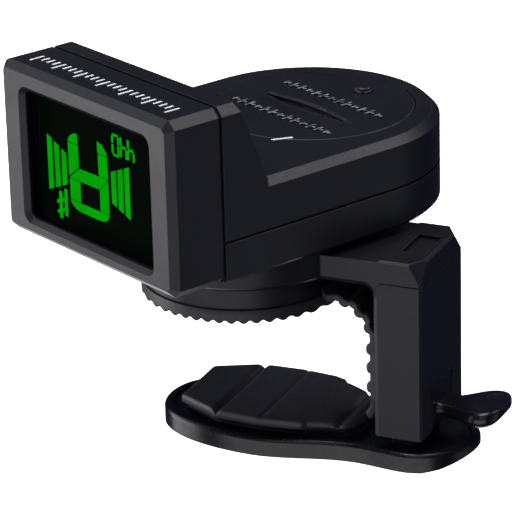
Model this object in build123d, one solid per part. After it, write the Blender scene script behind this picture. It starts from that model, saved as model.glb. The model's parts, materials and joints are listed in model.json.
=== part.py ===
"""Clip-on tuner with a turning head, a sliding lower jaw and a ratchet release lever.

Frame: origin on the swivel axis, in the plane of the foot plate's underside.
+X runs from the swivel axis to the column, +Z is up. Millimetres.
"""
import math
import os

from build123d import *

# ---------------------------------------------------------------- driving dimensions
# Head, in its own frame: x towards the screen, y to its right, turned by HEAD_YAW about the swivel axis
HEAD_YAW = -116.6          # rest angle of the head on the clip
HEAD_Z = 28.5              # underside of the head
HEAD_H = 21.85             # height of the display block
HEAD_W = 33.4              # width of the head
SCREEN_X = 23.75           # front face, ahead of the swivel axis
BEZEL_D = 7.55             # depth of the front bezel
STRIP_D = 10.25            # depth of the full-height block
RAMP_X = 9.35              # foot of the ramp behind the block
BODY_H = 11.55             # height of the flat rear body
SEAM_H = 5.25              # height of the seam between the two shells
TAIL_X = -10.4             # centre of the round tail
EDGE = 1.05                # chamfer on the display block
TOP_EDGE = 0.95            # chamfer round the top of the rear body
WALL = 1.4

# Display
WIN_W, WIN_H, WIN_Z = 24.6, 16.4, 10.55     # window size and the height of its middle
WIN_DEPTH = 1.1
LENS_T = 1.7
RIM = 0.62                 # chamfer round the window
FACE_EDGE = 0.9            # chamfer round the front face
GROOVE = 0.25              # half the width of the groove between bezel and shells

# Battery compartment
COVER_X = -11.5            # axis of the battery cover
COVER_R = 12.8
COVER_T = 1.5
COVER_GAP = 0.12
CELL_R, CELL_T = 10.0, 3.2                  # 20 mm x 3.2 mm coin cell

# Inside the head
SCREWS = [(-11.5, -13.6), (-11.5, 13.6), (12.4, -13.0), (12.4, 13.0)]
BOARD_Z, BOARD_T = HEAD_Z + 4.6, 0.8        # main board's underside and thickness
BTN_X, BTN_Z = 2.6, HEAD_Z + 7.9            # middle of the power button, in the left wall
HUB_Z0 = 25.6                               # lower end of the hub that turns in the clip

# Clip
ARM_TOP = 27.85
ARM_T = 3.5
DISC_R = 15.05
ARM_W = 14.0
COL_X0, COL_X1 = 20.1, 26.25                # inner and outer faces of the column
COL_Z0 = 4.8                                # lower end of the column
PAD_R = 12.9
PAD_SEAM_Z = 21.0                           # joint between the pad holder and the liner
PAD_Z0 = 19.1                               # tips of the pad's ridges
RIDGE_SKEW = 10.0                           # angle between the ridges and the jaw's cross direction
HUB_R = 5.0
FIT = 0.05                                  # radial clearance of running fits

# Foot
PLATE_T = 3.0
PLATE_X0, PLATE_X1 = -10.9, 30.9            # front and rear tips of the foot plate
SOLE_T = 0.5                                # height of the inset sole under the plate
DISH_Z = 2.7                                # floor of the shallow dish in the plate's top
PAD_TOP = 5.15                              # clamping face of the foot pad
CREASES = (-0.9, 5.1)                       # cross creases of the foot pad
STEM_TOP = 22.6
TOOTH = 1.0                                 # pitch of the ratchet teeth

# Release lever
PIN_X, PIN_Z, PIN_R = 24.85, 9.75, 0.5
TONGUE_W, SLIT = 6.5, 0.3
TONGUE_R = 1.64                             # rounding of the tongue's top about the pin

HEAD_TOP = HEAD_Z + HEAD_H
BODY_TOP = HEAD_Z + BODY_H
SEAM_Z = HEAD_Z + SEAM_H
SEAM_X = SCREEN_X - BEZEL_D
STRIP_X = SCREEN_X - STRIP_D
HALF = HEAD_W / 2
parts = {}


# ---------------------------------------------------------------- helpers
def block(x0, x1, y0, y1, z0, z1):
    """Box between two corners."""
    return Pos((x0 + x1) / 2, (y0 + y1) / 2, (z0 + z1) / 2) * Box(x1 - x0, y1 - y0, z1 - z0)


def rod(x, y, z0, z1, r):
    """Upright cylinder."""
    return Pos(x, y, (z0 + z1) / 2) * Cylinder(r, z1 - z0)


def cross_rod(x, z, r, y0, y1):
    """Cylinder along y."""
    return Pos(x, (y0 + y1) / 2, z) * Rot(90, 0, 0) * Cylinder(r, y1 - y0)


def prism(points, y0, y1):
    """Outline given as (x, z), extruded along y."""
    face = make_face(Polyline(*[(x, y0, z) for x, z in points], close=True))
    return extrude(face, amount=y1 - y0, dir=(0, 1, 0))


def slab(outline, z0, z1):
    """Flat sketch lifted to z0 and extruded up to z1."""
    return extrude(Pos(0, 0, z0) * outline, amount=z1 - z0, dir=(0, 0, 1))


def sweep_rod(points, r):
    """Round wire along a smooth line through the points."""
    path = Spline(*points)
    start = Plane(origin=path @ 0, z_dir=path % 0)
    return sweep(start * Circle(r), path=path)


def along(shape, axis, test):
    """Edges parallel to an axis whose middle passes a test."""
    return shape.edges().filter_by(axis).filter_by(lambda e: test(e.center()))


def tail_plan(inset):
    """Plan of the head with its round tail, pulled in by inset."""
    h = HALF - inset
    front = SEAM_X + 1 - (inset if inset else 0)
    rect = Pos((TAIL_X + front) / 2, 0) * Rectangle(front - TAIL_X, 2 * h)
    return rect + Pos(TAIL_X, 0) * Circle(h)


def head_turn(shape):
    """From the head's own frame to the row frame."""
    return Rot(0, 0, HEAD_YAW) * shape


# ---------------------------------------------------------------- head shells
def head_outer():
    """Outside of the whole head before it is split into bezel and shells."""
    body = slab(tail_plan(0), HEAD_Z, BODY_TOP)
    body = chamfer(body.faces().sort_by(Axis.Z)[-1].edges(), TOP_EDGE)
    rear = prism([(SEAM_X + 1, HEAD_Z), (SEAM_X + 1, HEAD_TOP), (STRIP_X, HEAD_TOP), (RAMP_X, BODY_TOP),
                  (RAMP_X, HEAD_Z)], -HALF, HALF)
    rear = chamfer(along(rear, Axis.X, lambda c: c.Z > HEAD_TOP - 0.1), EDGE)
    shell = body + rear
    low = shell.faces().filter_by(Axis.Z).sort_by(Axis.Z)[0].edges()
    shell = chamfer(low.filter_by(lambda e: e.center().X < SEAM_X + 0.9), 0.5)
    front = block(SEAM_X, SCREEN_X, -HALF, HALF, HEAD_Z, HEAD_TOP)
    front = fillet(along(front, Axis.X, lambda c: c.Y < 0), 1.35)
    front = chamfer(along(front, Axis.X, lambda c: c.Y > HALF - 0.01), EDGE)
    front = chamfer(front.faces().sort_by(Axis.X)[-1].edges(), FACE_EDGE)
    return shell & block(-40, SEAM_X, -30, 30, 0, 80), front


def make_shells():
    shell, front = head_outer()
    # front bezel: window with a fine bevel, pocket for the lens, hollow behind
    zc = HEAD_Z + WIN_Z
    win = Plane((0, 0, zc), x_dir=(0, 1, 0), z_dir=(1, 0, 0))
    hole = Pos(SCREEN_X - 4, 0, 0) * (win * RectangleRounded(WIN_W, WIN_H, 0.9))
    bezel = front - extrude(hole, amount=6, dir=(1, 0, 0))
    rim = bezel.edges().filter_by(
        lambda e: abs(e.center().X - SCREEN_X) < 1e-3 and abs(e.center().Y) < WIN_W / 2 + 0.1 and
        abs(e.center().Z - zc) < WIN_H / 2 + 0.1)
    bezel = chamfer(rim, RIM)
    pocket = SCREEN_X - WIN_DEPTH
    bezel -= block(pocket - LENS_T - 0.4, pocket, -13.6, 13.6, zc - 9.4, zc + 9.4)
    inside = HALF - WALL
    bezel -= block(SEAM_X - 1, pocket - LENS_T - 0.2, -inside, inside, HEAD_Z + WALL, HEAD_TOP - WALL)
    back = bezel.faces().sort_by(Axis.X)[0].outer_wire().edges()
    parts["front_bezel"] = chamfer(back, GROOVE)
    parts["display_lens"] = block(pocket - LENS_T, pocket, -13.5, 13.5, zc - 9.3, zc + 9.3)

    # rear shells: hollow, split at the seam, with a lap all the way round
    hollow = slab(tail_plan(WALL), HEAD_Z + WALL, BODY_TOP - 1.5)
    hollow += prism([(SEAM_X + 1, HEAD_Z + WALL), (SEAM_X + 1, HEAD_TOP - WALL),
                     (STRIP_X + 0.6, HEAD_TOP - WALL), (RAMP_X + 1.2, BODY_TOP - 1.5),
                     (RAMP_X + 1.2, HEAD_Z + WALL)], -HALF + WALL, HALF - WALL)
    upper = (shell & block(-40, 40, -30, 30, SEAM_Z, 80)) - hollow
    lower = (shell & block(-40, 40, -30, 30, HEAD_Z, SEAM_Z)) - hollow
    groove = upper.faces().filter_by(Axis.Z).sort_by(Axis.Z)[0].outer_wire().edges()
    upper = chamfer(groove, 0.14)
    lower -= block(-40, 40, -30, 30, SEAM_Z - 0.2, SEAM_Z) - slab(tail_plan(0.2), SEAM_Z - 1, SEAM_Z + 1)
    core = block(SEAM_X - 1, SEAM_X + 1, -HALF + GROOVE, HALF - GROOVE, HEAD_Z + GROOVE, HEAD_TOP - GROOVE)
    core = chamfer(along(core, Axis.X, lambda c: c.Z > HEAD_TOP - 1), EDGE - 0.15)
    ring = block(SEAM_X - GROOVE, SEAM_X + 1, -30, 30, 0, 80) - core
    upper -= ring
    lower -= ring

    # battery opening with a ledge below the cover
    upper -= rod(COVER_X, 0, BODY_TOP - COVER_T - 0.3, BODY_TOP + 1, COVER_R + COVER_GAP)
    upper += rod(COVER_X, 0, BODY_TOP - COVER_T - 1.5, BODY_TOP - COVER_T - 0.3, COVER_R + 1.5) - \
        rod(COVER_X, 0, 0, 80, 11.9) & slab(tail_plan(0.4), SEAM_Z, BODY_TOP)
    # screw posts, and the button's opening in the left wall
    for x, y in SCREWS:
        top = BODY_TOP - 2.5 if x < 0 else BODY_TOP + 1.0
        upper += rod(x, y, BOARD_Z + BOARD_T, top, 1.9) - rod(x, y, 0, BODY_TOP - 3.2, 0.85)
    upper -= block(BTN_X - 3.6, BTN_X + 3.6, -HALF - 1, -HALF + WALL + 1, BTN_Z - 1.6, BTN_Z + 1.6)

    # lower shell: hub, bosses and counterbores
    for x, y in SCREWS:
        lower += rod(x, y, HEAD_Z + 0.5, BOARD_Z, 2.3)
    lower += rod(0, 0, HEAD_Z, HEAD_Z + 3.8, 3.4)
    lower += rod(0, 0, HUB_Z0, HEAD_Z + 0.1, HUB_R)
    lower -= rod(0, 0, HUB_Z0 - 1, HEAD_Z + 3.0, 1.3)
    for x, y in SCREWS:
        lower -= rod(x, y, HEAD_Z - 1, HEAD_Z + 1.3, 1.75) + rod(x, y, HEAD_Z, 60, 0.85)
    parts["upper_shell"] = upper
    parts["lower_shell"] = lower


def make_head_trim():
    # printed tick scale on the block's top face, with a small pointer at its middle
    ticks = Part()
    for i in range(-12, 13):
        deep = 2.1 if i % 4 == 0 else 1.2
        ticks += block(19.4, 19.4 + deep, 1.1 * i - 0.16, 1.1 * i + 0.16, HEAD_TOP, HEAD_TOP + 0.05)
    parts["tick_scale"] = ticks
    start, end = Vector(0.4, 6.5), Vector(-2.0, 7.6)
    mid = (start + end) * 0.5
    lean = math.degrees(math.atan2(end.Y - start.Y, end.X - start.X))
    mark = Pos(mid.X, mid.Y, BODY_TOP + 0.035) * Rot(0, 0, lean)
    parts["index_mark"] = mark * Box((end - start).length, 0.42, 0.07)

    # screws that hold the shells, and the swivel's screw, washer and friction ring
    screws = Part()
    for x, y in SCREWS:
        screws += rod(x, y, HEAD_Z + 0.3, HEAD_Z + 1.3, 1.6) + rod(x, y, HEAD_Z + 1.3, BODY_TOP - 3.4, 0.8)
        screws -= block(x - 1.0, x + 1.0, y - 0.2, y + 0.2, HEAD_Z, HEAD_Z + 0.75)
        screws -= block(x - 0.2, x + 0.2, y - 1.0, y + 1.0, HEAD_Z, HEAD_Z + 0.75)
    parts["shell_screws"] = screws
    screw = rod(0, 0, HUB_Z0 - 2.1, HUB_Z0 - 0.7, 2.4) + rod(0, 0, HUB_Z0 - 0.7, HEAD_Z + 2.8, 1.25)
    screw -= block(-1.6, 1.6, -0.3, 0.3, 0, HUB_Z0 - 1.4) + block(-0.3, 0.3, -1.6, 1.6, 0, HUB_Z0 - 1.4)
    parts["swivel_screw"] = screw
    parts["swivel_washer"] = rod(0, 0, HUB_Z0 - 0.7, HUB_Z0, 7.2) - rod(0, 0, 0, 80, 1.3)
    parts["friction_ring"] = rod(0, 0, HUB_Z0, HUB_Z0 + 0.25, 6.9) - rod(0, 0, 0, 80, HUB_R + 0.1)


# ---------------------------------------------------------------- display
def cell(*points):
    """Thin lit cell on the display, its corners given as (to the right, above the head's floor)."""
    x = SCREEN_X - WIN_DEPTH - LENS_T - 0.15
    face = make_face(Polyline(*[(x, y, HEAD_Z + z) for y, z in points], close=True))
    return extrude(face, amount=0.1, dir=(1, 0, 0))


def bar(y0, y1, z0, z1, slant=0.0, rise=0.0):
    """Four-sided cell leaning by slant from bottom to top and rising by rise from left to right."""
    return cell((y0, z0), (y1, z0 + rise), (y1 + slant, z1 + rise), (y0 + slant, z1))


def note_glyph():
    """The large note letter: two open uprights above a closed loop, cut into cells by fine gaps."""
    glyph = cell((-7.1, 13.0), (-7.0, 13.35), (-6.6, 13.8), (-5.95, 14.2), (-5.28, 14.3), (-5.2, 13.0))
    glyph += cell((-7.1, 12.83), (-5.2, 12.83), (-5.2, 10.05), (-7.1, 8.55))
    glyph += cell((-1.15, 13.0), (-1.18, 14.42), (-0.45, 14.2), (0.2, 13.7), (0.55, 13.25), (0.64, 13.0))
    glyph += cell((-1.1, 12.83), (0.65, 12.83), (0.62, 10.08), (-1.05, 10.08))
    glyph += cell((-7.02, 8.36), (-5.16, 9.86), (-5.16, 8.36))
    glyph += cell((-5.04, 8.36), (-5.04, 9.93), (-3.26, 9.93), (-3.26, 8.36))
    glyph += cell((-3.14, 8.36), (-3.14, 9.95), (-1.11, 9.95), (-1.11, 8.36))
    glyph += cell((-0.99, 8.44), (-0.99, 9.95), (0.56, 9.95))
    glyph += cell((-7.0, 8.22), (-5.05, 8.22), (-5.05, 5.6), (-7.0, 5.6))
    glyph += cell((0.64, 9.78), (-1.0, 8.3), (-1.0, 5.6), (0.64, 5.6))
    glyph += cell((-7.0, 5.47), (-5.21, 5.47), (-5.21, 4.4), (-5.9, 4.52), (-6.45, 4.78), (-6.82, 5.1))
    glyph += cell((-5.09, 5.47), (-1.21, 5.47), (-1.21, 4.36), (-5.09, 4.38))
    glyph += cell((-1.09, 5.47), (0.64, 5.47), (0.55, 5.1), (0.25, 4.72), (-0.3, 4.45), (-1.09, 4.36))
    return glyph


def make_display():
    lit = note_glyph()
    # level bars on both sides of the note, longest outside
    wide = 0.88
    for outer, way, foot, taper, pitch in ((-11.4, 1, 5.65, 0.42, 1.42), (4.88, -1, 6.15, 0.34, 1.31)):
        for d in (0.0, pitch, 2 * pitch):
            a, b = outer + way * d, outer + way * (d + wide)
            lit += cell((a, foot + taper * d), (b, foot + taper * (d + wide)),
                        (b, 12.75 - 0.42 * (d + wide)), (a, 12.75 - 0.42 * d))
    # sharp sign
    for y, z in ((-9.45, 2.45), (-8.35, 3.0)):
        lit += bar(y, y + 0.5, z, z + 3.5, 0.05)
    for z in (3.15, 4.45):
        lit += bar(-9.9, -7.75, z - 0.22, z + 0.22, 0.0, 0.9)
    # reference pitch, three small figures
    t = 0.27
    lit += bar(1.9, 2.95, 16.0, 16.27) + bar(2.0, 3.05, 13.5, 13.77)
    for y in (1.76, 2.9):
        lit += bar(y, y + t, 15.1, 15.95) + bar(y, y + t, 13.82, 14.9)
    for y in (3.38, 4.8):
        lit += bar(y, y + t, 15.2, 16.15) + bar(y + 0.02, y + t, 13.7, 14.78)
        lit += bar(y + 0.15, y + 1.1, 14.83, 15.13) + bar(y + 1.05, y + 1.05 + t, 13.65, 14.78)
    parts["display_segments"] = lit

    x = SCREEN_X - WIN_DEPTH - LENS_T - 0.15
    zc = HEAD_Z + WIN_Z
    parts["display_panel"] = block(x - 1.8, x, -13.2, 13.2, zc - 9.0, zc + 9.0)
    parts["backlight_plate"] = block(x - 2.7, x - 1.8, -12.9, 12.9, zc - 8.6, zc + 8.6)
    board = block(x - 3.5, x - 2.7, -14.4, 14.4, zc - 8.6, zc + 8.6)
    for y, z in ((-13.6, zc - 7.6), (13.6, zc - 7.6), (-13.6, zc + 7.6), (13.6, zc + 7.6)):
        board -= Pos(x - 3.1, y, z) * Rot(0, 90, 0) * Cylinder(0.45, 2)
    parts["display_board"] = board


# ---------------------------------------------------------------- electronics
def make_electronics():
    top = BOARD_Z + BOARD_T
    plan = tail_plan(2.0) & (Pos(-5.2, 0) * Rectangle(40.5, 40))
    board = slab(plan, BOARD_Z, top)
    for x, y in SCREWS:
        board -= rod(x, y, 0, 80, 1.0)
    parts["main_board"] = board
    tray_z = top + 0.6
    tray = rod(COVER_X, 0, top, BODY_TOP - COVER_T - 1.55, 11.3) - rod(COVER_X, 0, tray_z, 80, CELL_R + 0.25)
    tray -= block(COVER_X + 7, COVER_X + 14, -2.6, 2.6, tray_z, 80)
    parts["battery_tray"] = tray
    cell_z = tray_z + 0.35
    can = rod(COVER_X, 0, cell_z + 0.3, cell_z + CELL_T, CELL_R)
    can += rod(COVER_X, 0, cell_z, cell_z + 0.3, CELL_R - 1.2)
    top_edge = can.edges().filter_by(GeomType.CIRCLE).sort_by(Axis.Z)[-1:]
    parts["coin_cell"] = fillet(top_edge, 0.4)
    # negative contact: a flat spring with two risen fingers below the cell
    neg = block(COVER_X - 5.5, COVER_X + 5.5, -2.2, 2.2, tray_z, tray_z + 0.2)
    for y in (-1.2, 1.2):
        neg += block(COVER_X - 2.5, COVER_X + 2.5, y - 0.5, y + 0.5, tray_z + 0.2, tray_z + 0.35)
    parts["negative_contact"] = neg
    # positive contact: an upright strip with a bent foot, against the cell's side
    px = COVER_X + CELL_R + 0.02
    pos = block(px, px + 0.25, -1.9, 1.9, cell_z + 0.5, cell_z + 3.0)
    pos += block(px + 0.25, px + 1.6, -1.9, 1.9, cell_z + 0.5, cell_z + 0.75)
    pos += block(px + 1.35, px + 1.6, -1.9, 1.9, top, cell_z + 0.6)
    parts["positive_contact"] = pos
    chips = block(3.2, 8.8, 4.4, 10.0, top, top + 1.0) + block(3.6, 7.0, -3.0, 0.4, top, top + 0.9)
    for i in range(5):
        chips += block(4.0 + 0.9 * i, 4.35 + 0.9 * i, 10.0, 10.7, top, top + 0.3)
        chips += block(4.0 + 0.9 * i, 4.35 + 0.9 * i, 3.7, 4.4, top, top + 0.3)
    parts["chips"] = chips
    small = Part()
    for x, y in ((8.6, -2.4), (8.6, -0.8), (8.6, 0.8), (3.4, 1.6), (5.2, 1.8), (-1.2, 12.4), (0.6, 12.4)):
        small += block(x, x + 1.0, y, y + 0.5, top, top + 0.5)
    small += rod(10.4, 6.2, top, top + 1.6, 1.0)
    parts["board_parts"] = small

    # side switch with its plunger, reached by the button in the left wall
    parts["side_switch"] = block(BTN_X - 2.3, BTN_X + 2.3, -12.9, -9.6, top, top + 3.4) - \
        block(BTN_X - 1.05, BTN_X + 1.05, -13.2, -12.1, BTN_Z - 0.65, BTN_Z + 0.65)
    parts["switch_plunger"] = block(BTN_X - 0.95, BTN_X + 0.95, -13.5, -12.6, BTN_Z - 0.55, BTN_Z + 0.55)
    cap = block(BTN_X - 3.3, BTN_X + 3.3, -HALF - 0.55, -HALF + WALL + 0.25, BTN_Z - 1.3, BTN_Z + 1.3)
    cap = fillet(along(cap, Axis.Y, lambda c: True), 1.2)
    cap = fillet(cap.faces().sort_by(Axis.Y)[0].edges(), 0.3)
    flange = block(BTN_X - 4.2, BTN_X + 4.2, -HALF + WALL + 0.25, -14.1, BTN_Z - 2.1, BTN_Z + 2.1)
    stem = block(BTN_X - 0.9, BTN_X + 0.9, -14.1, -13.5, BTN_Z - 0.5, BTN_Z + 0.5)
    parts["power_button"] = cap + flange + stem

    # vibration pick-up on the floor of the lower shell, with two leads to the board
    floor = HEAD_Z + WALL
    parts["pickup_disc"] = rod(-12.5, 0, floor, floor + 0.25, 6.0)
    parts["pickup_ceramic"] = rod(-12.5, 0, floor + 0.25, floor + 0.5, 4.0)
    leads = sweep_rod([(-7.4, 1.0, floor + 0.45), (-5.6, 1.6, floor + 1.0), (-4.2, 2.6, BOARD_Z - 1.0),
                       (-3.8, 3.2, BOARD_Z)], 0.2)
    leads += sweep_rod([(-9.2, -1.0, floor + 0.7), (-7.2, -1.6, floor + 1.6), (-4.6, -2.6, BOARD_Z - 0.9),
                        (-3.8, -3.2, BOARD_Z)], 0.2)
    parts["pickup_leads"] = leads


# ---------------------------------------------------------------- battery cover
def make_cover():
    z1 = BODY_TOP
    cover = rod(COVER_X, 0, z1 - COVER_T, z1, COVER_R)
    cover = chamfer(cover.edges().filter_by(GeomType.CIRCLE).sort_by(Axis.Z)[-1:], 0.1)
    # plug below the flange, with a groove for the seal
    plug = rod(COVER_X, 0, z1 - COVER_T - 1.5, z1 - COVER_T, 11.6)
    plug -= rod(COVER_X, 0, 0, z1 - COVER_T - 0.3, 10.4)
    plug -= rod(COVER_X, 0, z1 - COVER_T - 1.15, z1 - COVER_T - 0.45, 13) - rod(COVER_X, 0, 0, 80, 11.25)
    cover += plug
    # coin slot: a lens-shaped cut across the middle, with a shallow step round its mouth
    for half, sag, deep in ((8.2, 1.0, 0.7), (8.6, 1.22, 0.12)):
        arc_a = ThreePointArc((0, -half), (sag, 0), (0, half))
        arc_b = ThreePointArc((0, half), (-sag, 0), (0, -half))
        lens = make_face(arc_a + arc_b)
        cover -= slab(Pos(COVER_X + 0.9, 0) * lens, z1 - deep, z1 + 1)
    # raised ribs in two rows, and a pip
    for x, phase in ((-3.2, 0.0), (5.4, 0.5)):
        for i in range(-6, 7):
            y = 1.45 * (i + phase * 0.4)
            if math.hypot(x, abs(y) + 0.9) > COVER_R - 1.0:
                continue
            long = 1.6 if i % 3 else 0.9
            rib_x = COVER_X + x
            cover += block(rib_x - long / 2, rib_x + long / 2, y - 0.2, y + 0.2, z1 - 0.05, z1 + 0.18)
            cover += block(rib_x - 0.2, rib_x + 0.2, y + 0.2, y + 0.85, z1 - 0.05, z1 + 0.18)
    pip = rod(COVER_X - 8.1, 0.4, z1 - 0.1, z1 + 0.75, 1.15)
    cover += fillet(pip.edges().filter_by(GeomType.CIRCLE).sort_by(Axis.Z)[-1:], 0.3)
    parts["battery_cover"] = cover
    ring = Pos(COVER_X, 0, z1 - COVER_T - 0.8) * Torus(11.55, 0.3)
    parts["cover_seal"] = ring


# ---------------------------------------------------------------- clip frame
def make_clip():
    z0 = ARM_TOP - ARM_T
    disc = rod(0, 0, z0, ARM_TOP, DISC_R)
    disc = chamfer(disc.edges().filter_by(GeomType.CIRCLE).sort_by(Axis.Z)[:1], 0.4)
    arm = block(0, COL_X1, -ARM_W / 2, ARM_W / 2, z0, ARM_TOP)
    column = block(COL_X0, COL_X1, -ARM_W / 2, ARM_W / 2, COL_Z0, ARM_TOP)
    body = arm + column
    inner = along(body, Axis.Y, lambda c: abs(c.X - COL_X0) < 0.01 and abs(c.Z - z0) < 0.01)
    body = fillet(inner, 1.4)
    # facets on the two rear top corners
    for s in (-1, 1):
        y = s * ARM_W / 2
        a = Vector(COL_X1 - 1.65, y, ARM_TOP)
        b = Vector(COL_X1, y - s * 2.7, ARM_TOP)
        c = Vector(COL_X1, y, ARM_TOP - 2.9)
        n = (b - a).cross(c - a).normalized()
        if n.X < 0:
            n = n * -1
        mid = (a + b + c) * (1 / 3)
        body -= Plane(origin=mid, z_dir=n) * Pos(0, 0, 5) * Box(14, 14, 10)
    # fine bevels on the arm's and the column's long edges
    fine = along(body, Axis.X, lambda p: abs(p.Y) > 6.9 and p.Z > z0 - 0.1)
    body = chamfer(fine, 0.3)
    back = along(body, Axis.Y, lambda p: abs(p.X - COL_X1) < 0.01 and p.Z > ARM_TOP - 0.1)
    body = chamfer(back, 0.3)
    low = along(body, Axis.Z, lambda p: p.Z < 20 and abs(abs(p.Y) - ARM_W / 2) < 0.01)
    body = chamfer(low, 0.25) + disc
    # shallow recess in the column's head, a step where the arm meets it, and a parting line below it
    body -= block(22.3, 25.3, -3.0, 3.0, ARM_TOP - 0.45, ARM_TOP + 1)
    body -= prism([(8, ARM_TOP - 0.25), (20.6, ARM_TOP - 0.25), (21.1, ARM_TOP + 0.05), (8, ARM_TOP + 0.05)],
                  -ARM_W, ARM_W) - rod(0, 0, 0, 80, DISC_R)
    line_z = ARM_TOP - 2.95
    ring = block(COL_X0 + 0.9, COL_X1 + 1, -9, 9, line_z - 0.06, line_z + 0.06)
    body -= ring - block(0, COL_X1 - 0.12, -ARM_W / 2 + 0.12, ARM_W / 2 - 0.12, 0, 60)
    # bore for the hub, counterbore for washer and ring
    body -= rod(0, 0, 0, 80, HUB_R + FIT) + rod(0, 0, 0, HUB_Z0 + 0.3, 8.0)
    # hollow column, open below, with guide ribs on its rear wall
    cavity = block(21.4, 25.0, -5.8, 5.8, 0, 24.0)
    for s in (-1, 1):
        cavity -= block(24.25, 25.1, s * 5.1 - 0.75, s * 5.1 + 0.75, COL_Z0, 24.1)
    body -= cavity
    # opening for the lever in the rear wall, and the pin's hole
    half = TONGUE_W / 2 + SLIT
    gap = block(24.9, COL_X1 + 1, -half, half, 0, PIN_Z)
    gap += cross_rod(PIN_X, PIN_Z, TONGUE_R + FIT, -half, half) & block(24.9, COL_X1 + 1, -9, 9, 0, 60)
    body -= gap + cross_rod(PIN_X, PIN_Z, PIN_R, -6.2, 8)
    parts["clip_frame"] = body
    parts["lever_pin"] = cross_rod(PIN_X, PIN_Z, PIN_R, -6.0, 6.7)

    holder = rod(0, 0, PAD_SEAM_Z, z0 - 0.9, 12.65) + rod(0, 0, z0 - 0.9, z0, 12.2)
    holder -= rod(0, 0, PAD_SEAM_Z + 1.1, 80, 8.4)
    parts["pad_holder"] = holder


def make_liner():
    """Rubber liner: ridged pad under the holder, a web round the corner and a strip down the column."""
    pitch = 1.5
    pad = rod(0, 0, PAD_Z0 + 0.45, PAD_SEAM_Z, PAD_R)
    ridges = Part()
    n = int(PAD_R / pitch) + 1
    for i in range(-n, n + 1):
        ridges += Pos(i * pitch, 0, PAD_Z0 + 0.62) * Rot(90, 0, 0) * Cylinder(0.62, 40)
    skew = Rot(0, 0, RIDGE_SKEW) * ridges
    pad += skew & rod(0, 0, 0, PAD_SEAM_Z - 0.5, PAD_R)
    pad -= block(-12.6, -11.7, -6.3, -4.8, PAD_SEAM_Z - 0.5, PAD_SEAM_Z + 1)
    # web and strip: one sheet bent round the jaw's inner corner, necked where it leaves the pad
    t = 1.05
    x1 = COL_X0
    r = 4.0
    zt = 22.3
    width = 11.6
    bend_x, bend_z = x1 - t - r, zt - t - r
    neck = [(11.0, -3.7), (13.6, -3.7), (bend_x, -width / 2), (bend_x, width / 2), (13.6, 3.7), (11.0, 3.7)]
    neck = make_face(Polyline(*neck, close=True))
    corner = cross_rod(bend_x, bend_z, r + t, -width / 2, width / 2) - cross_rod(bend_x, bend_z, r, -9, 9)
    corner &= block(bend_x, x1, -width, width, bend_z, zt)
    strip = block(x1 - t, x1, -width / 2, width / 2, 9.0, bend_z)
    riser = block(11.0, 13.6, -3.7, 3.7, 20.0, zt)
    body = slab(neck, zt - t, zt) + corner + strip + riser
    # ridges on the corner and the strip
    for a in (12, 36, 60, 84):
        c = math.cos(math.radians(a)) * (r + 0.1)
        s = math.sin(math.radians(a)) * (r + 0.1)
        body += cross_rod(bend_x + c, bend_z + s, 0.5, -width / 2, width / 2)
    for i in range(3):
        body += cross_rod(x1 - t - 0.05, 15.6 - 2.5 * i, 0.55, -width / 2, width / 2)
    # free lower end, rolled towards the jaw
    flare, flare_x = 4.2, x1 - t - 3.4
    end = cross_rod(flare_x, 9.0, flare, 1 - width / 2, width / 2 - 1)
    end -= cross_rod(flare_x, 9.0, flare - 0.8, -9, 9)
    end &= block(x1 - t - 2.6, x1, -width, width, 5.4, 9.0)
    body += end
    parts["jaw_liner"] = pad + (body - rod(0, 0, PAD_SEAM_Z, 80, 12.75))


# ---------------------------------------------------------------- foot
def plate_plan(inset=0.0):
    """Plan of the foot plate: an oval front lobe and a round rear lobe joined by a soft neck."""
    half_front, half_neck, half_rear = 9.2 - inset, 6.7 - inset, 7.2 - inset
    x0, x1 = PLATE_X0 + inset, PLATE_X1 - inset
    side = [(x0, 0), (4.2, half_front), (17.6, half_neck), (23.6, half_rear), (x1, 0)]
    tang = [(0, 1), (1, 0), (1, 0.02), (1, 0.0), (0, -1)]
    top = Spline(*side, tangents=tang, tangent_scalars=[1.25, 1.0, 1.0, 1.0, 1.2])
    low = Spline(*[(x, -y) for x, y in reversed(side)], tangents=[(-a, b) for a, b in reversed(tang)],
                 tangent_scalars=[1.2, 1.0, 1.0, 1.0, 1.25])
    return make_face(top + low)


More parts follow.
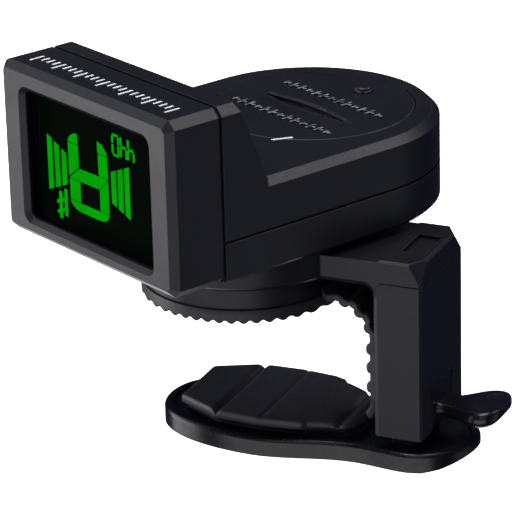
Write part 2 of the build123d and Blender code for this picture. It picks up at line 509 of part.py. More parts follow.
def make_foot():
    plate = slab(plate_plan(), SOLE_T, PLATE_T)
    plate = fillet(plate.faces().sort_by(Axis.Z)[-1].edges(), 0.55)
    # the heel's underside curves up, and an inset sole carries the plate
    plate -= prism([(26.0, -1), (26.0, SOLE_T), (28.0, 0.85), (29.6, 1.4), (32.0, 2.4), (32.0, -1)], -12, 12)
    plate += slab(plate_plan(2.2), 0, SOLE_T) & block(-20, 25.5, -12, 12, 0, 1)
    plate -= slab(plate_plan(1.1), DISH_Z, PLATE_T + 1)
    for y in (-3.3, 3.3):
        plate -= rod(22.4, y, -1, 1.3, 1.9) + rod(22.4, y, 0, 5, 1.0)
    parts["foot_plate"] = plate

    # foot pad: overhanging slab on a smaller base, with two cross creases and a stepped tail
    side = [(-7.1, 4.7), (-1.2, 7.6), (4.5, 7.9), (9.0, 7.3), (12.0, 6.2)]
    outline = side + [(x, -y) for x, y in reversed(side)]
    pad = slab(make_face(Polyline(*outline, close=True)), 3.85, PAD_TOP)
    pad = fillet(along(pad, Axis.Z, lambda c: c.X > 8), 0.8)
    pad = chamfer(pad.faces().sort_by(Axis.Z)[-1].edges(), 0.35)
    tail = slab(Pos(13.4, 0) * RectangleRounded(6.4, 10.6, 1.6), 3.2, 4.6)
    tail = chamfer(tail.faces().sort_by(Axis.Z)[-1].edges(), 0.4)
    pad += tail
    for x in CREASES:
        pad -= prism([(x - 0.35, PAD_TOP + 0.1), (x + 0.35, PAD_TOP + 0.1), (x, PAD_TOP - 0.4)], -12, 12)
    base = slab(Pos(4.0, 0) * RectangleRounded(18.0, 9.6, 2.5), DISH_Z, 3.9)
    parts["foot_pad"] = pad + base

    # stem: front plate, two rails and ratchet teeth between them, on a narrower foot
    stem = block(21.45, 23.15, -5.75, 5.75, COL_Z0, STEM_TOP)
    for s in (-1, 1):
        stem += block(23.1, 24.2, s * 5.1 - 0.65, s * 5.1 + 0.65, COL_Z0, STEM_TOP)
    stem += block(21.45, 24.2, -4.5, 4.5, DISH_Z, COL_Z0)
    teeth = Part()
    z = COL_Z0 + 0.4
    while z + TOOTH < STEM_TOP - 0.5:
        teeth += prism([(23.1, z), (23.6, z + 0.15), (23.1, z + TOOTH)], -2.9, 2.9)
        z += TOOTH
    stem += teeth
    for y in (-3.3, 3.3):
        stem -= rod(22.4, y, 0, 6.6, 0.8)
    parts["ratchet_stem"] = stem
    screws = Part()
    for y in (-3.3, 3.3):
        screw = rod(22.4, y, 0.2, 1.3, 1.75) + rod(22.4, y, 1.3, 6.4, 0.8)
        screw -= block(21.4, 23.4, y - 0.22, y + 0.22, 0, 0.7) + block(22.18, 22.62, y - 1, y + 1, 0, 0.7)
        screws += screw
    parts["stem_screws"] = screws


# ---------------------------------------------------------------- release lever
def make_lever():
    half = TONGUE_W / 2
    crown = cross_rod(PIN_X, PIN_Z, TONGUE_R, -half, half) & block(25.15, COL_X1, -half, half, PIN_Z, 20)
    tongue = block(25.15, COL_X1, -half, half, 4.95, PIN_Z) + crown
    for s in (-1, 1):
        y0, y1 = sorted((s * 1.7, s * half))
        tongue += cross_rod(PIN_X, PIN_Z, 0.85, y0, y1)
    tongue -= cross_rod(PIN_X, PIN_Z, PIN_R + FIT, -10, 10)
    tongue -= block(24.0, 25.95, -1.7, 1.7, PIN_Z - 1.0, PIN_Z + 1.2)
    # pawl tooth, drawn just clear of the ratchet's tips
    tongue += prism([(25.2, 5.6), (23.75, 6.7), (25.2, 7.3)], -2.6, 2.6)
    # paddle: sections from the root to a broad spoon, with a thumb hollow in its top
    sections = [(25.6, 1.9, 6.0, 8.4), (27.2, 1.95, 6.3, 7.8), (28.7, 2.5, 6.35, 7.85),
                (30.2, 3.4, 6.25, 8.1), (31.6, 4.05, 6.2, 8.3), (32.8, 4.15, 6.3, 8.4),
                (33.8, 3.6, 6.6, 8.45), (34.4, 2.65, 7.0, 8.4), (34.75, 1.4, 7.4, 8.2)]
    rounds = []
    for x, w, low, high in sections:
        across = Plane((x, 0, (low + high) / 2), x_dir=(0, 1, 0), z_dir=(1, 0, 0))
        rounds.append(across * RectangleRounded(2 * w, high - low, 0.42 * (high - low)))
    paddle = loft(Sketch() + rounds)
    paddle -= Pos(32.6, 0, 8.35 + 7.5) * Sphere(7.95)
    parts["release_lever"] = tongue + paddle
    # torsion spring round the pin between the eyes
    coil = Helix(pitch=0.42, height=2.52, radius=0.78)
    start = Plane(origin=coil @ 0, z_dir=coil % 0)
    spring = sweep(start * Circle(0.14), path=coil, is_frenet=True)
    spring = Pos(PIN_X, 1.26, PIN_Z) * Rot(90, 0, 0) * spring
    parts["lever_spring"] = spring


make_shells()
make_head_trim()
make_display()
make_electronics()
make_cover()
HEAD_NODES = list(parts)
for name in HEAD_NODES:
    parts[name] = head_turn(parts[name])
make_clip()
make_liner()
make_foot()
make_lever()

os.makedirs("parts", exist_ok=True)
for name, shape in parts.items():
    export_step(shape, f"parts/{name}.step")
    print(f"{name:18s} {shape.volume:10.2f} mm3  solids {len(shape.solids())}")
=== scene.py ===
"""Looks of the clip-on tuner: materials, the lit display, and a plain studio.

Everything is in metres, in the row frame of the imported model: origin on the head's swivel axis in the
plane of the foot's underside, +X towards the clamp's column, +Z up.
"""

import json
import math

import bmesh
import bpy
from mathutils import Matrix, Vector


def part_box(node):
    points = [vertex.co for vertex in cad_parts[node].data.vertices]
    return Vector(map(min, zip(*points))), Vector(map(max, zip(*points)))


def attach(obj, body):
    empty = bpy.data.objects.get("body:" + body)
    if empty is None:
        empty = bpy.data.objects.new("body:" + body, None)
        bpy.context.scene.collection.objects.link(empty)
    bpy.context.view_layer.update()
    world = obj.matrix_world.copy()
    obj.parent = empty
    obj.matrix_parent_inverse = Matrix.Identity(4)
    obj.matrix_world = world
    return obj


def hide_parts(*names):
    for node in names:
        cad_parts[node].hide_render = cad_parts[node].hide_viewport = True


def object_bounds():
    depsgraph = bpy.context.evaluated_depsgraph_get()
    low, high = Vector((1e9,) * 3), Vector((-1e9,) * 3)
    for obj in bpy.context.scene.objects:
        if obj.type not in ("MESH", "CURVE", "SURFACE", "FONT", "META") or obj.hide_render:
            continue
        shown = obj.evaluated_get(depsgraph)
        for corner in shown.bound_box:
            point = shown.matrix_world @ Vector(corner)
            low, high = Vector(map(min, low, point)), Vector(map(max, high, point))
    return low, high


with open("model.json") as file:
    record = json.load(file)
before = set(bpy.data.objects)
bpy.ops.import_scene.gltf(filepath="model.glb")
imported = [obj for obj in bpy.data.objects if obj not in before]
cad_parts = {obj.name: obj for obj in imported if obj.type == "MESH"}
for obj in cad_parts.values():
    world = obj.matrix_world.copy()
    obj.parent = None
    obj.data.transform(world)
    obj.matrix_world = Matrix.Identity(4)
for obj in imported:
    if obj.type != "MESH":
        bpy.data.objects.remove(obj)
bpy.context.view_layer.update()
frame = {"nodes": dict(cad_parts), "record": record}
NODES = frame["nodes"]
MM = 0.001
PIP_HEIGHT = 0.75 * MM
COVER_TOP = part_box("battery_cover")[1].z - PIP_HEIGHT
JAW_TRAVEL = 10 * MM       # how far the foot slides down the column


# ---------------------------------------------------------------- node helpers
MIX_A, MIX_B, MIX_RESULT = 6, 7, 2         # colour sockets of the Mix node


class Tree:
    """A new material with its shader, and short calls to add and join nodes."""

    def __init__(self, name):
        self.mat = bpy.data.materials.new(name)
        self.mat.use_nodes = True
        self.nodes = self.mat.node_tree.nodes
        self.links = self.mat.node_tree.links
        self.shader = self.nodes["Principled BSDF"]

    def add(self, kind, **values):
        node = self.nodes.new("ShaderNode" + kind)
        for key, value in values.items():
            if hasattr(node, key):
                setattr(node, key, value)
            else:
                node.inputs[key.replace("_", " ")].default_value = value
        return node

    def join(self, source, target):
        self.links.new(source, target)

    def place(self):
        """Coordinates that stay with the piece, in metres."""
        return self.add("TexCoord").outputs["Object"]

    def noise(self, scale, detail=3.0, rough=0.5, stretch=None):
        """Noise with about `scale` lumps to the metre; stretch multiplies the coordinates first."""
        node = self.add("TexNoise", Scale=scale, Detail=detail, Roughness=rough)
        source = self.place()
        if stretch:
            mapping = self.add("Mapping", Scale=stretch)
            self.join(source, mapping.inputs["Vector"])
            source = mapping.outputs["Vector"]
        self.join(source, node.inputs["Vector"])
        return node.outputs["Fac"]

    def above(self, level):
        """1 on whatever stands above a height in metres, 0 below it."""
        split = self.add("SeparateXYZ")
        self.join(self.place(), split.inputs[0])
        return self.remap(split.outputs["Z"], level, level + 0.08 * MM)

    def remap(self, source, low, high, out_low=0.0, out_high=1.0):
        """The range low to high, mapped to out_low to out_high and held there outside it."""
        node = self.add("MapRange")
        for key, value in (("From Min", low), ("From Max", high), ("To Min", out_low), ("To Max", out_high)):
            node.inputs[key].default_value = value
        self.join(source, node.inputs["Value"])
        return node.outputs["Result"]

    def math(self, operation, a, b):
        node = self.add("Math", operation=operation)
        for socket, value in zip(node.inputs, (a, b)):
            if isinstance(value, (int, float)):
                socket.default_value = value
            else:
                self.join(value, socket)
        return node.outputs["Value"]

    def mix(self, factor, a, b):
        node = self.add("Mix", data_type="RGBA")
        self.join(factor, node.inputs["Factor"])
        for socket, value in ((node.inputs[MIX_A], a), (node.inputs[MIX_B], b)):
            if isinstance(value, tuple):
                socket.default_value = (*value, 1)
            else:
                self.join(value, socket)
        return node.outputs[MIX_RESULT]

    def edges(self, radius):
        """1 along outer edges where wear shows and 0 on flats, from how a rounded edge's normal leaves the
        true one.
        """
        soft = self.add("Bevel", samples=4, Radius=radius)
        true = self.add("NewGeometry")
        dot = self.add("VectorMath", operation="DOT_PRODUCT")
        self.join(soft.outputs["Normal"], dot.inputs[0])
        self.join(true.outputs["Normal"], dot.inputs[1])
        return soft.outputs["Normal"], self.remap(dot.outputs["Value"], 0.995, 0.86)

    def open_air(self, reach, closed, opened):
        """0 deep in a seam or a narrow gap, 1 where the surface is open to light."""
        cavity = self.add("AmbientOcclusion", samples=8, Distance=reach)
        return self.remap(cavity.outputs["AO"], closed, opened)

    def bump(self, height, strength, distance, normal=None):
        node = self.add("Bump", Strength=strength, Distance=distance)
        self.join(height, node.inputs["Height"])
        if normal is not None:
            self.join(normal, node.inputs["Normal"])
        self.join(node.outputs["Normal"], self.shader.inputs["Normal"])

    def set(self, **values):
        for key, value in values.items():
            self.shader.inputs[key.replace("_", " ")].default_value = value


# ---------------------------------------------------------------- materials
GRAIN_DEPTH = 0.02 * MM
PAINTED_GLINT_BAND = 0.3 * MM     # how far up a raised mark is painted paler, as a painted highlight
def moulded(name, colour, wear_and_glint_colour, rough, grain=2600.0, bump=0.12, raised=None):
    """Black moulded plastic: spark-eroded grain, cloudy gloss, paler edges from wear, raised marks painted
    paler as a painted highlight, gloss dimmed in seams as painted shade.
    """
    t = Tree(name)
    rounded, edge_mask = t.edges(0.16 * MM)
    cloud = t.noise(55.0, 4.0)
    fine = t.noise(grain, 2.0, 0.6)
    shade = t.mix(t.remap(cloud, 0.35, 0.7), colour, tuple(c * 1.22 for c in colour))
    wear_and_glint = t.math("MULTIPLY", edge_mask, t.remap(t.noise(420.0, 5.0, 0.7), 0.42, 0.68, 0.35, 0.9))
    # painted highlight: speckles on raised marks are painted paler, standing in for glints on them
    if raised:
        patches = t.remap(t.noise(1300.0, 3.0, 0.7), 0.44, 0.6, 0.2, 1.6)
        painted_glint = t.math("MULTIPLY", t.above(raised), patches)
        painted_glint = t.math("MULTIPLY", painted_glint, t.math("SUBTRACT", 1.0, t.above(raised + PAINTED_GLINT_BAND)))
        wear_and_glint = t.math("MAXIMUM", wear_and_glint, painted_glint)
    # painted shade: ambient occlusion dims the gloss deep in seams and narrow gaps, and keeps edge wear out
    # of them
    clear = t.open_air(0.5 * MM, 0.5, 0.92)
    # base colour: edge wear plus the painted highlight on raised marks, both kept out of seams
    t.join(t.mix(t.math("MULTIPLY", wear_and_glint, clear), shade, wear_and_glint_colour), t.shader.inputs["Base Color"])
    t.join(t.math("MULTIPLY", clear, 0.35), t.shader.inputs["Specular IOR Level"])
    gloss = t.math("ADD", t.remap(cloud, 0.3, 0.75, rough - 0.05, rough + 0.06),
                   t.remap(fine, 0.3, 0.7, -0.03, 0.04))
    t.join(gloss, t.shader.inputs["Roughness"])
    t.bump(fine, bump, GRAIN_DEPTH, rounded)
    return t.mat


def rubber(name, colour, dusty, rough=0.68):
    """Soft black rubber: matte, faintly dusty in patches, with a fine uneven skin, darkened and dulled as
    painted shade in corners and under the parts around it.
    """
    t = Tree(name)
    rounded, edge_mask = t.edges(0.2 * MM)
    dust = t.remap(t.noise(160.0, 6.0, 0.65), 0.45, 0.75, 0.0, 0.55)
    shade = t.mix(t.math("MAXIMUM", dust, t.math("MULTIPLY", edge_mask, 0.35)), colour, dusty)
    # painted shade: ambient occlusion over 5 mm darkens the colour to 0.3 of itself and dims the gloss in
    # corners and under overhangs
    clear = t.open_air(5.0 * MM, 0.2, 0.55)
    t.join(t.mix(clear, tuple(c * 0.3 for c in colour), shade), t.shader.inputs["Base Color"])
    t.join(t.math("MULTIPLY", clear, 0.5), t.shader.inputs["Specular IOR Level"])
    skin = t.noise(1500.0, 4.0, 0.6)
    matt = t.remap(skin, 0.3, 0.7, rough - 0.06, rough + 0.08)
    t.join(t.math("SUBTRACT", matt, t.math("MULTIPLY", edge_mask, 0.2)), t.shader.inputs["Roughness"])
    t.set(Sheen_Weight=0.08)
    t.bump(skin, 0.2, 0.03 * MM, rounded)
    return t.mat


def metal(name, colour, rough, brush=(900.0, 900.0, 60.0)):
    """Plated metal with fine drawn lines and slight tarnish."""
    t = Tree(name)
    lines = t.noise(1.0, 3.0, 0.6, stretch=brush)
    stain = t.noise(220.0, 5.0)
    t.join(t.mix(t.remap(stain, 0.45, 0.8, 0.0, 0.6), colour, tuple(c * 0.6 for c in colour)),
           t.shader.inputs["Base Color"])
    drawn = t.remap(lines, 0.3, 0.7, rough - 0.06, rough + 0.08)
    t.join(t.math("ADD", drawn, t.remap(stain, 0.3, 0.7, 0, 0.06)), t.shader.inputs["Roughness"])
    t.set(Metallic=1.0)
    t.bump(lines, 0.1, 0.01 * MM)
    return t.mat


def coated(name, colour, second, scale, rough, bump=0.1, specular=0.5):
    """Painted, printed or moulded surface whose colour drifts between two shades."""
    t = Tree(name)
    patch = t.noise(scale, 5.0, 0.6)
    t.join(t.mix(t.remap(patch, 0.4, 0.62), colour, second), t.shader.inputs["Base Color"])
    t.join(t.remap(patch, 0.3, 0.7, rough - 0.06, rough + 0.08), t.shader.inputs["Roughness"])
    t.set(Specular_IOR_Level=specular)
    t.bump(patch, bump, GRAIN_DEPTH)
    return t.mat


def lens_clear():
    """Clear window: nearly invisible, with a polished skin and the faintest smears."""
    t = Tree("lens_clear")
    smear = t.noise(180.0, 4.0, 0.6, stretch=(1, 1, 3))
    t.join(t.remap(smear, 0.4, 0.7, 0.18, 0.32), t.shader.inputs["Roughness"])
    t.join(t.mix(smear, (0.01, 0.012, 0.011), (0.02, 0.022, 0.021)), t.shader.inputs["Base Color"])
    t.set(Alpha=0.008, IOR=1.49, Specular_IOR_Level=0.1)
    return t.mat


def lit_green():
    """Backlit display strokes, a touch uneven from the light guide behind them."""
    t = Tree("segment_green")
    glow = t.noise(260.0, 2.0)
    colour = t.mix(t.remap(glow, 0.35, 0.65), (0.0, 0.33, 0.0006), (0.0002, 0.39, 0.0012))
    t.join(colour, t.shader.inputs["Emission Color"])
    t.set(Emission_Strength=1.0, Base_Color=(0.0, 0.002, 0.0, 1), Roughness=0.6, Specular_IOR_Level=0.0)
    return t.mat


def dark_panel():
    """Unlit area of the display: black, with a trace of the light guide's green leaking through."""
    t = Tree("panel_dark")
    leak = t.noise(90.0, 2.0)
    t.join(t.mix(t.remap(leak, 0.35, 0.65), (0.0002, 0.0011, 0.0005), (0.0004, 0.0017, 0.0008)),
           t.shader.inputs["Emission Color"])
    t.join(t.remap(leak, 0.3, 0.7, 0.45, 0.6), t.shader.inputs["Roughness"])
    t.set(Emission_Strength=1.0, Base_Color=(0.0006, 0.001, 0.0008, 1), Specular_IOR_Level=0.0)
    return t.mat


def board():
    """Solder mask with copper tracks showing through and tinned pads."""
    t = Tree("board_green")
    cells = t.add("TexVoronoi", feature="DISTANCE_TO_EDGE", distance="CHEBYCHEV", Scale=420.0)
    t.join(t.place(), cells.inputs["Vector"])
    track = t.remap(cells.outputs["Distance"], 0.06, 0.1, 1.0, 0.0)
    t.join(t.mix(track, (0.012, 0.09, 0.035), (0.03, 0.2, 0.07)), t.shader.inputs["Base Color"])
    t.join(t.remap(t.noise(700.0), 0.3, 0.7, 0.28, 0.42), t.shader.inputs["Roughness"])
    t.bump(track, 0.25, 0.03 * MM)
    return t.mat


MATERIALS = {
    "shell_black": moulded("shell_black", (0.0064, 0.0064, 0.0094), (0.075, 0.075, 0.082), 0.42),
    "clip_black": moulded("clip_black", (0.006, 0.006, 0.0094), (0.085, 0.085, 0.092), 0.44),
    "foot_black": moulded("foot_black", (0.0045, 0.0045, 0.007), (0.05, 0.05, 0.055), 0.23, 1800.0, 0.03),
    "cover_black": moulded("cover_black", (0.007, 0.007, 0.0108), (0.2, 0.2, 0.21), 0.4,
                           raised=COVER_TOP + 0.05 * MM),
    "jaw_rubber": rubber("jaw_rubber", (0.012, 0.012, 0.0165), (0.038, 0.038, 0.042), 0.47),
    "seal_rubber": rubber("seal_rubber", (0.02, 0.02, 0.022), (0.05, 0.05, 0.052)),
    "lens_clear": lens_clear(),
    "panel_dark": dark_panel(),
    "segment_green": lit_green(),
    "backlight_white": coated("backlight_white", (0.8, 0.84, 0.82), (0.7, 0.75, 0.72), 300.0, 0.35),
    "print_white": coated("print_white", (0.88, 0.88, 0.87), (0.68, 0.68, 0.68), 1800.0, 0.6, 0.3),
    "board_green": board(),
    "chip_black": coated("chip_black", (0.012, 0.012, 0.013), (0.02, 0.02, 0.021), 2500.0, 0.6, 0.3),
    "parts_tan": coated("parts_tan", (0.4, 0.28, 0.15), (0.5, 0.38, 0.24), 900.0, 0.4),
    "screw_steel": metal("screw_steel", (0.56, 0.56, 0.55), 0.34),
    "cell_metal": metal("cell_metal", (0.84, 0.83, 0.81), 0.45, (1400.0, 60.0, 60.0)),
    "contact_metal": metal("contact_metal", (0.8, 0.62, 0.3), 0.28),
    "ceramic_white": coated("ceramic_white", (0.8, 0.79, 0.74), (0.7, 0.69, 0.63), 1200.0, 0.5),
    "washer_nylon": coated("washer_nylon", (0.62, 0.6, 0.54), (0.54, 0.52, 0.46), 700.0, 0.5),
    "lead_red": coated("lead_red", (0.5, 0.03, 0.02), (0.36, 0.02, 0.015), 900.0, 0.4),
}


def paint(obj, slot):
    """Gives a piece its one material."""
    obj.data.materials.clear()
    obj.data.materials.append(MATERIALS[slot])


# ---------------------------------------------------------------- rubber pieces, in millimetres
def smooth_mesh(name, rings, body, slot, node):
    """Closed skin over rings of equal length, capped at both ends. It replaces the CAD node given."""
    verts = [p for ring in rings for p in ring]
    n = len(rings[0])
    faces = [tuple(range(n)), tuple(reversed(range(len(verts) - n, len(verts))))]
    for i in range(len(rings) - 1):
        a, b = i * n, (i + 1) * n
        faces += [(a + k, b + k, b + (k + 1) % n, a + (k + 1) % n) for k in range(n)]
    mesh = bpy.data.meshes.new(name)
    mesh.from_pydata([tuple(c * MM for c in p) for p in verts], [], faces)
    mesh.validate()
    fix = bmesh.new()
    fix.from_mesh(mesh)
    bmesh.ops.recalc_face_normals(fix, faces=fix.faces)
    fix.to_mesh(mesh)
    fix.free()
    mesh.shade_smooth()
    piece = bpy.data.objects.new(name, mesh)
    bpy.context.scene.collection.objects.link(piece)
    paint(piece, slot)
    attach(piece, body)
    if node:
        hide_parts(node)


def between(x, points):
    """Straight-line reading of y at x from a few (x, y) points."""
    for (x0, y0), (x1, y1) in zip(points, points[1:]):
        if x <= x1:
            return y0 + (y1 - y0) * max(0.0, x - x0) / (x1 - x0)
    return points[-1][1]


def steps(a, b, count):
    return [a + (b - a) * i / (count - 1) for i in range(count)]


def dent(x, middle, half):
    """1 at the middle of a soft crease, 0 well beyond its half width."""
    return math.exp(-((x - middle) / half) ** 2)


PAD_CREASES = ((0.5, -0.95, 0.42), (0.14, 5.1, 0.26), (0.5, 14.45, 0.42))     # depth, middle, half width
PAD_LEDGE_Z = 3.95         # underside of the pad's overhanging lip
LIP_END = 10.5             # behind this the lip is narrow
WIDE_LIP, NARROW_LIP = 1.5, 0.5


def make_foot_pad():
    """Overhanging rubber pad: straight front, two creases, a side lip that stops short of the tail."""
    lo, hi = (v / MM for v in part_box("foot_pad"))
    half = [(lo.x, 4.45), (lo.x + 0.12, 4.75), (-1.2, 7.6), (4.5, 7.9), (9.0, 7.45), (10.4, 7.15),
            (10.9, 6.5), (12.3, 6.0), (13.8, 5.5), (15.2, 5.2), (16.2, 4.2), (hi.x, 2.5)]
    top = [(lo.x, -0.42), (lo.x + 0.08, -0.22), (lo.x + 0.3, -0.05), (lo.x + 0.6, 0.0), (9.0, 0.0),
           (12.6, -0.35), (13.7, -0.5), (15.6, -0.6), (16.3, -0.8), (hi.x, -1.2)]
    rings = []
    for x in steps(lo.x, hi.x, 190):
        w = between(x, half)
        z = hi.z + between(x, top)
        z -= sum(depth * dent(x, middle, width) for depth, middle, width in PAD_CREASES)
        under = min(PAD_LEDGE_Z, z - 0.25)
        inner = w - (WIDE_LIP if x < LIP_END else NARROW_LIP)
        side = [(inner, lo.z), (inner, under - 0.12), (inner + 0.12, under), (w - 0.14, under),
                (w, under + 0.12), (w, z - 0.24), (w - 0.06, z - 0.1), (w - 0.2, z - 0.02), (w - 0.45, z)]
        hollow = 0.1 * dent(x, 2.0, 9.0)
        side += [(w * k, z - hollow * (1 - k)) for k in (0.8, 0.6, 0.4, 0.2)]
        near = [(x, -y, h) for y, h in side] + [(x, 0.0, side[-1][1])]
        rings.append(near + [(x, y, h) for y, h in reversed(side)])
    smooth_mesh("foot_pad_rubber", rings, "foot", "jaw_rubber", "foot_pad")


RIDGE_SKEW = math.radians(10.0)    # between the ridges and the jaw's cross direction
RIDGE_PITCH, RIDGE_DEPTH = 1.5, 0.42
JAW_PAD_T = 1.9            # from the seam with the pad holder to the tips of the ridges
ROUND = 400                # points round the jaw pad


def around(r):
    """Points of a circle in the jaw pad's plane."""
    return [(r * math.cos(math.tau * i / ROUND), r * math.sin(math.tau * i / ROUND)) for i in range(ROUND)]


def make_jaw_pad():
    """Round rubber pad under the holder, with rows of rounded ridges across its face."""
    radius = -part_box("jaw_liner")[0].x / MM
    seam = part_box("pad_holder")[0].z / MM
    across = Vector((math.cos(RIDGE_SKEW), math.sin(RIDGE_SKEW)))
    face = [(r, 0.0) for r in steps(0.02, radius - 0.35, 52)]
    rim = [(radius - 0.2, 0.03), (radius - 0.08, 0.1), (radius, 0.24), (radius, 0.5), (radius, 0.9)]
    rings = []
    for r, rise in face + rim:
        ring = []
        for x, y in around(r):
            wave = 0.5 - 0.5 * math.cos(math.tau * (across.x * x + across.y * y) / RIDGE_PITCH)
            ring.append((x, y, seam - JAW_PAD_T + rise + RIDGE_DEPTH * (1 - rise) * wave ** 1.3))
        rings.append(ring)
    for r, below in ((radius, 0.14), (radius - 0.04, 0.05), (radius - 0.12, 0.01), (radius - 0.3, 0.01),
                     (0.02, 0.01)):
        rings.append([(x, y, seam - below) for x, y in around(r)])
    smooth_mesh("jaw_pad_rubber", rings, "clip", "jaw_rubber", "jaw_liner")


STRAP_T = 1.05
STRAP_BEND = 4.6           # inner radius of the bend
STRAP_START = 12.2         # x where the strap leaves the pad
STRAP_FOOT_Z = 9.0         # where the lower end starts to curl
CURL, CURL_RADIUS = 3.6, 4.0
BEND_RIBS = (0.18, 0.48, 0.78)     # along the bend, from 0 to 1
COLUMN_RIBS = (15.5, 13.05, 10.45)         # heights down the column
RIB_HALF, RIB_HEIGHT = 0.72, 0.5


def make_jaw_strap():
    """Rubber strap from the pad round the jaw's corner and down the column, ribbed towards the jaw."""
    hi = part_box("jaw_liner")[1] / MM
    bend_x, bend_z = hi.x - STRAP_T - STRAP_BEND, hi.z - STRAP_T - STRAP_BEND
    middle = STRAP_BEND + STRAP_T / 2
    flat, turn, drop = bend_x - STRAP_START, middle * math.pi / 2, bend_z - STRAP_FOOT_Z
    total = flat + turn + drop + CURL
    ribs = [flat + turn * k for k in BEND_RIBS] + [flat + turn + bend_z - z for z in COLUMN_RIBS]
    half = [(0, 4.0), (flat * 0.5, 5.6), (flat + 0.3, 5.8), (flat + turn + drop, 5.8), (total - 0.6, 5.0),
            (total, 4.2)]

    def centre_line(s):
        """x, z and the angle turned so far, at a distance s along the strap."""
        if s < flat:
            return STRAP_START + s, hi.z - STRAP_T / 2 - 0.45 * math.cos(s / flat * math.pi / 2), 0.0
        if s < flat + turn:
            a = (s - flat) / turn * math.pi / 2
            return bend_x + middle * math.sin(a), bend_z + middle * math.cos(a), a
        if s < flat + turn + drop:
            return hi.x - STRAP_T / 2, bend_z - (s - flat - turn), math.pi / 2
        a = (s - flat - turn - drop) / CURL_RADIUS
        return (hi.x - STRAP_T / 2 - CURL_RADIUS * (1 - math.cos(a)),
                STRAP_FOOT_Z - CURL_RADIUS * math.sin(a), math.pi / 2 + a)

    rings = []
    for s in steps(0.0, total, 260):
        x, z, a = centre_line(s)
        rib = max(math.sqrt(max(0.0, 1 - ((s - m) / RIB_HALF) ** 2)) for m in ribs)
        inner = STRAP_T / 2 + 0.05 + RIB_HEIGHT * rib
        bent = math.sin(math.pi * min(1.0, max(0.0, (s - 0.5 * flat) / (0.5 * flat + turn + 1.5))))
        outer = STRAP_T / 2 - (0.12 + 0.42 * rib) * math.sqrt(bent)    # a thin sheet, waved round the corner
        w = between(s, half)
        section = [(-w + 0.22, outer), (-w + 0.06, outer - 0.08), (-w, outer - 0.25), (-w, -inner + 0.3),
                   (-w + 0.08, -inner + 0.1), (-w + 0.3, -inner)]
        section += [(w * k, -inner) for k in (-0.5, 0.0, 0.5)]
        section += [(-y, d) for y, d in reversed(section[:6])]
        out_x, out_z = math.sin(a), math.cos(a)      # away from the jaw
        rings.append([(x + out_x * d, y, z + out_z * d) for y, d in section])
    smooth_mesh("jaw_strap_rubber", rings, "clip", "jaw_rubber", None)


SEAL_STEPS, SEAL_SECTION = 96, 16
SEAL_FLAT = -0.85          # cosine at which the seal's inner side is pressed flat


def make_cover_seal():
    """Seal ring of the battery cover, pressed a little flat against its groove."""
    lo, hi = (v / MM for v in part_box("cover_seal"))
    middle = (lo + hi) / 2
    thick = (hi.z - lo.z) / 2
    radius = (hi.x - lo.x) / 2 - thick
    rings = []
    for a in (math.tau * i / SEAL_STEPS for i in range(SEAL_STEPS + 1)):
        ring = []
        for b in (math.tau * k / SEAL_SECTION for k in range(SEAL_SECTION)):
            r = radius + thick * max(SEAL_FLAT, math.cos(b))
            ring.append((middle.x + r * math.cos(a), middle.y + r * math.sin(a),
                         middle.z + thick * math.sin(b)))
        rings.append(ring)
    smooth_mesh("cover_seal_rubber", rings, "cover_ring", "seal_rubber", "cover_seal")


# ---------------------------------------------------------------- studio, in metres
AIM = Vector((0.005255, 0.010476, 0.0285))     # the battery cover's axis at the underside of the head
AZIMUTH, ELEVATION, ROLL = math.radians(23.52), math.radians(20.6), math.radians(1.19)
DISTANCE = 0.41509
TURN_LEFT, TURN_DOWN = math.radians(1.0265), math.radians(1.1183)    # AIM is right of and above the middle
LENS, SENSOR = 232.03, 36.0
CLIP_NEAR, CLIP_FAR = 0.01, 20.0

WHITE, COOL = (1, 1, 1), (0.84, 0.87, 1.0)
LIGHT_TARGET = Vector((0, 0, 0.03))
LIGHTS = [    # name, position, size, power in watts, colour
    ("left_box", (-0.78, -0.2, 0.01), (0.6, 0.8), 4.9, WHITE),
    ("high_box", (-0.7, 0.0, 0.56), (0.45, 0.4), 0.6, COOL),
    ("front_box", (0.02, -0.93, -0.41), (1.5, 0.5), 4.5, (0.96, 0.96, 1.0)),
    ("back_box", (0.52, 0.34, 0.68), (0.5, 0.3), 2.8, (0.97, 0.97, 1.0)),
    ("right_box", (0.193, 0.032, -0.042), (0.11, 0.12), 0.02, COOL),
    ("top_box", (-0.1, -0.1, 0.95), (0.6, 0.6), 7.5, WHITE),
    ("low_box", (-0.12, 0.25, -0.45), (0.5, 0.5), 2.4, WHITE),
    ("fill_box", (0.2, -0.85, 0.45), (0.6, 0.6), 1.2, COOL),
]
AIR_COLOUR, AIR_STRENGTH = (0.42, 0.47, 1.0), 0.05
ROOM_HALF = 3.0


def turned(a, b, angle):
    """Two perpendicular directions, turned together in their own plane."""
    return a * math.cos(angle) - b * math.sin(angle), b * math.cos(angle) + a * math.sin(angle)


def make_camera():
    side = Vector((math.cos(AZIMUTH), math.sin(AZIMUTH), 0))
    level = Vector((-math.sin(AZIMUTH), math.cos(AZIMUTH), 0))
    view = level * math.cos(ELEVATION) - Vector((0, 0, math.sin(ELEVATION)))
    right, up = turned(side, side.cross(view), ROLL)
    look, right = turned(view, right, TURN_LEFT)
    look, up = turned(look, up, TURN_DOWN)
    data = bpy.data.cameras.new("camera")
    data.lens, data.sensor_width = LENS, SENSOR
    data.clip_start, data.clip_end = CLIP_NEAR, CLIP_FAR
    camera = bpy.data.objects.new("camera", data)
    spin = Matrix((right, up, -look)).transposed().to_4x4()
    camera.matrix_world = Matrix.Translation(AIM - view * DISTANCE) @ spin
    bpy.context.scene.collection.objects.link(camera)
    bpy.context.scene.camera = camera


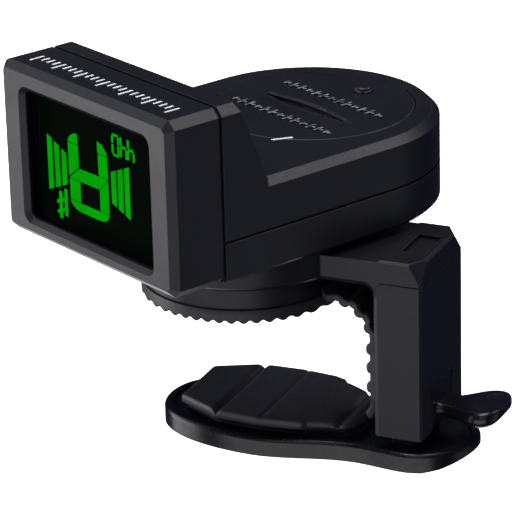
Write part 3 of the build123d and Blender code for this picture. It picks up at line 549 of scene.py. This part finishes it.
def make_room():
    """Pale floor, with walls and a ceiling far off; the floor lies just clear of the foot of an open jaw."""
    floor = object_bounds()[0].z - JAW_TRAVEL - 0.5 * MM
    square = ((-1, -1), (1, -1), (1, 1), (-1, 1))
    corners = [(x * ROOM_HALF, y * ROOM_HALF, z) for z in (floor, 2 * ROOM_HALF) for x, y in square]
    walls = [(i, (i + 1) % 4, (i + 1) % 4 + 4, i + 4) for i in range(4)]
    mesh = bpy.data.meshes.new("room")
    mesh.from_pydata(corners, [], [(0, 1, 2, 3), (4, 5, 6, 7)] + walls)
    room = bpy.data.objects.new("room", mesh)
    bpy.context.scene.collection.objects.link(room)
    t = Tree("room_pale")
    t.join(t.mix(t.noise(3.0), (0.93, 0.93, 0.93), (0.9, 0.9, 0.9)), t.shader.inputs["Base Color"])
    t.set(Roughness=0.9, Specular_IOR_Level=0.1, Emission_Color=(1, 1, 1, 1), Emission_Strength=1.05)
    mesh.materials.append(t.mat)
    # the room shows its own brightness only: it neither lights the black shells nor shades them
    room.visible_diffuse = room.visible_glossy = room.visible_shadow = False


def make_world():
    world = bpy.data.worlds.new("studio")
    bpy.context.scene.world = world
    world.use_nodes = True
    air = world.node_tree.nodes["Background"].inputs
    air["Color"].default_value = (*AIR_COLOUR, 1)
    air["Strength"].default_value = AIR_STRENGTH


def studio_light(name, position, size, power, colour):
    data = bpy.data.lights.new(name, "AREA")
    data.shape = "RECTANGLE"
    data.size, data.size_y = size
    data.energy = power
    data.color = colour
    lamp = bpy.data.objects.new(name, data)
    lamp.location = position
    lamp.rotation_euler = (LIGHT_TARGET - Vector(position)).to_track_quat("-Z", "Y").to_euler()
    bpy.context.scene.collection.objects.link(lamp)


# ---------------------------------------------------------------- the scene
for part in frame["record"]["subparts"]:
    paint(NODES[part["node"]], part["material_slot"])
make_foot_pad()
make_jaw_pad()
make_jaw_strap()
make_cover_seal()
# the lit strokes keep their green off the black window frame
NODES["display_segments"].visible_diffuse = NODES["display_segments"].visible_glossy = False

make_camera()
make_room()
make_world()
for light in LIGHTS:
    studio_light(*light)
bpy.context.scene.view_settings.view_transform = "Standard"
